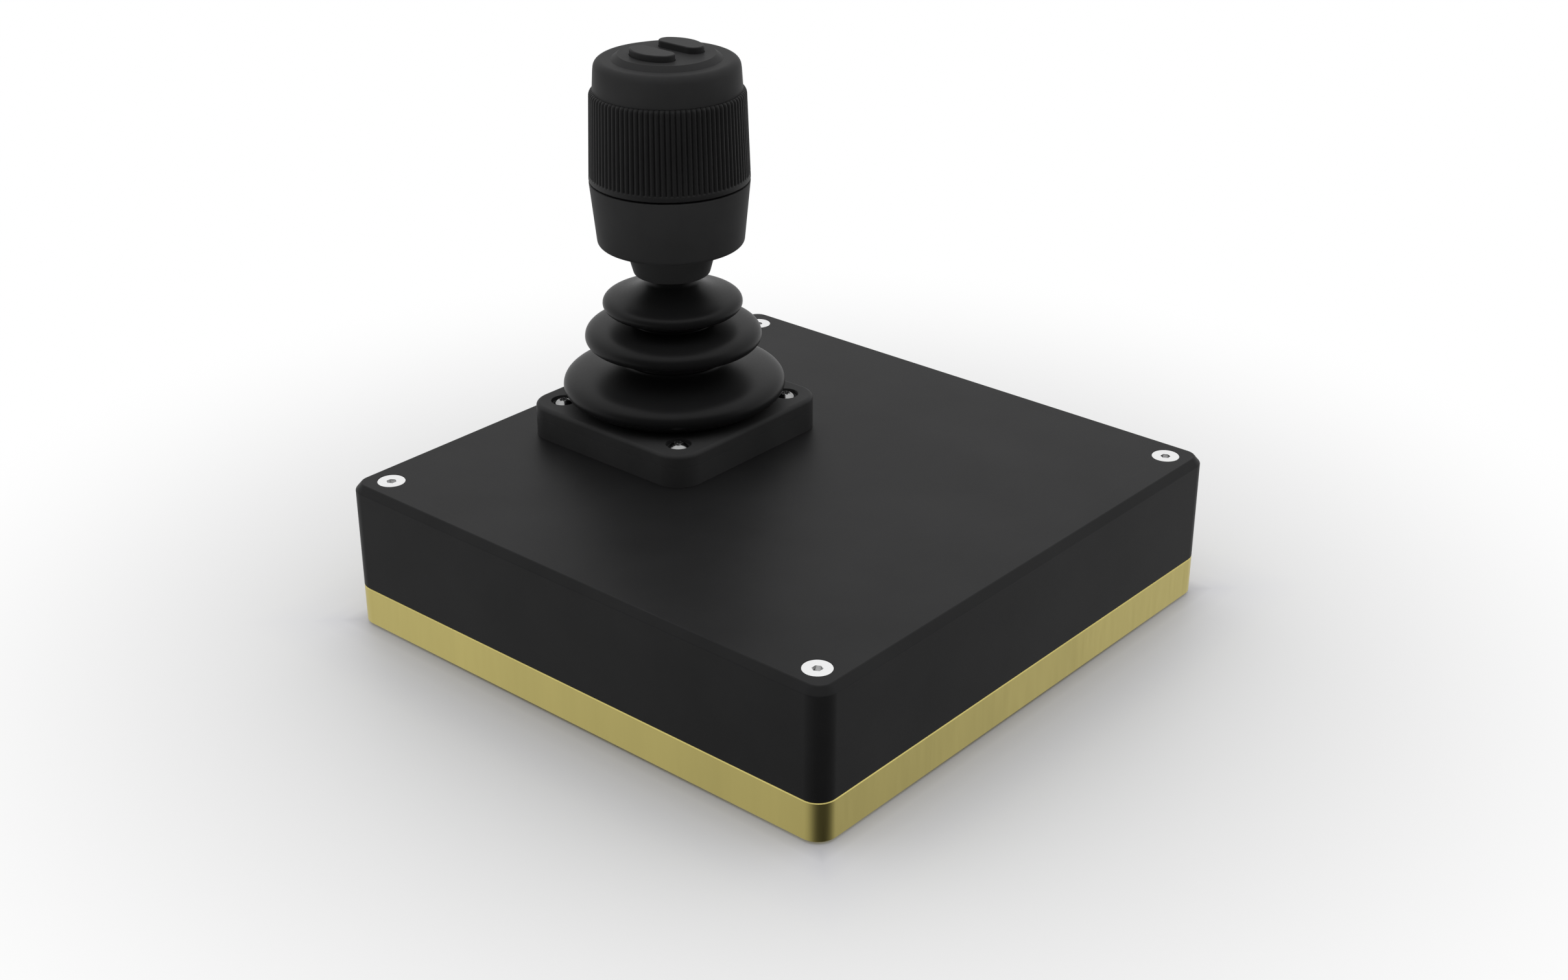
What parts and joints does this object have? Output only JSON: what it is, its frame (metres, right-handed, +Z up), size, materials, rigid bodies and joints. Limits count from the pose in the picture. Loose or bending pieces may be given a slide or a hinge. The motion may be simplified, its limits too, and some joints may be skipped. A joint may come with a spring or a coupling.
{
  "type": "industrial joystick",
  "caption": "Desk-box joystick: sprung two-axis stick in a ribbed rubber boot, twist grip and thumb buttons, on a square metal case.",
  "frame": {"origin": "on the floor, below the middle of the square case", "axes": "+Z up; -Y towards the user; +X to the user's right; the stick stands at +Y"},
  "size_m": [0.175, 0.175, 0.1598],
  "materials": {
    "case_black": "fine bead-blasted black anodising, satin",
    "case_gold": "satin gold anodising on milled aluminium",
    "screw_steel": "polished stainless steel",
    "handle_plastic": "fine-grained black moulded nylon",
    "grip_plastic": "black moulded elastomer with upright ribs",
    "bezel_plastic": "satin black moulded nylon",
    "boot_rubber": "smooth black moulded rubber, satin",
    "button_plastic": "satin black moulded plastic",
    "seal_rubber": "soft black rubber",
    "foot_rubber": "matt dark grey rubber",
    "bright_steel": "ground steel",
    "bush_bronze": "plain sintered bronze",
    "spring_steel": "drawn spring wire",
    "magnet_nickel": "nickel-plated magnet",
    "cast_zinc": "die-cast, unpainted",
    "hub_plastic": "glass-filled nylon",
    "board_green": "green solder mask",
    "chip_black": "moulded epoxy",
    "header_cream": "natural nylon",
    "socket_nickel": "nickel-plated brass",
    "socket_black": "black insulating plastic",
    "contact_gold": "gold-plated contact"
  },
  "bodies": {
    "base": {"top_shell": "case_black", "base_tray": "case_gold", "case_seal": "seal_rubber", "case_screws": "screw_steel", "rubber_feet": "foot_rubber", "joystick_body": "bezel_plastic", "flange_seal": "seal_rubber", "boot_bezel": "bezel_plastic", "flange_screws": "screw_steel", "body_cover": "bezel_plastic", "cover_screws": "bright_steel", "sensor_board": "board_green", "sensor_chip": "chip_black", "sensor_screws": "bright_steel", "outer_pins": "bright_steel", "pitch_springs": "spring_steel", "boot": "boot_rubber", "board_spacers": "socket_nickel", "main_board": "board_green", "board_screws": "bright_steel", "main_chips": "chip_black", "board_header": "header_cream", "panel_socket": "socket_nickel", "socket_insert": "socket_black", "socket_contacts": "contact_gold", "socket_nut": "socket_nickel"},
    "gimbal": {"gimbal_ring": "cast_zinc", "ring_bushes": "bush_bronze", "inner_pins": "bright_steel", "roll_springs": "spring_steel"},
    "stick": {"pivot_hub": "hub_plastic", "hub_bushes": "bush_bronze", "shaft": "bright_steel", "magnet_holder": "hub_plastic", "tilt_magnet": "magnet_nickel", "neck_cone": "handle_plastic", "handle_cup": "handle_plastic", "twist_spindle": "hub_plastic", "spindle_screws": "bright_steel", "shaft_nut": "bright_steel", "retaining_clip": "spring_steel", "twist_board": "board_green"},
    "grip": {"twist_bushes": "bush_bronze", "grip_carrier": "hub_plastic", "twist_spring": "spring_steel", "twist_magnet": "magnet_nickel", "twist_grip": "grip_plastic", "handle_cap": "handle_plastic", "cap_screws": "bright_steel", "button_board": "board_green", "button_switches": "chip_black", "button_disc": "handle_plastic", "left_button_spring": "spring_steel", "right_button_spring": "spring_steel"},
    "left_button": {"left_button": "button_plastic"},
    "right_button": {"right_button": "button_plastic"}
  },
  "joints": [
    {"name": "pitch", "type": "hinge", "parent": "base", "child": "gimbal", "pos_m": [0, 0.04215, 0.0376], "axis": [1, 0, 0], "range_deg": [-20, 20], "stiffness_Nm_per_rad": 3, "deforming": ["boot"]},
    {"name": "roll", "type": "hinge", "parent": "gimbal", "child": "stick", "pos_m": [0, 0.04215, 0.0376], "axis": [0, 1, 0], "range_deg": [-20, 20], "stiffness_Nm_per_rad": 3, "deforming": ["boot"]},
    {"name": "twist", "type": "hinge", "parent": "stick", "child": "grip", "pos_m": [0, 0.04215, 0.11], "axis": [0, 0, 1], "range_deg": [-30, 30], "stiffness_Nm_per_rad": 0.5},
    {"name": "left_press", "type": "slide", "parent": "grip", "child": "left_button", "axis": [0, 0, -1], "range_m": [0, 0.001], "stiffness_N_per_m": 1200, "deforming": ["left_button_spring"]},
    {"name": "right_press", "type": "slide", "parent": "grip", "child": "right_button", "axis": [0, 0, -1], "range_m": [0, 0.001], "stiffness_N_per_m": 1200, "deforming": ["right_button_spring"]}
  ]
}
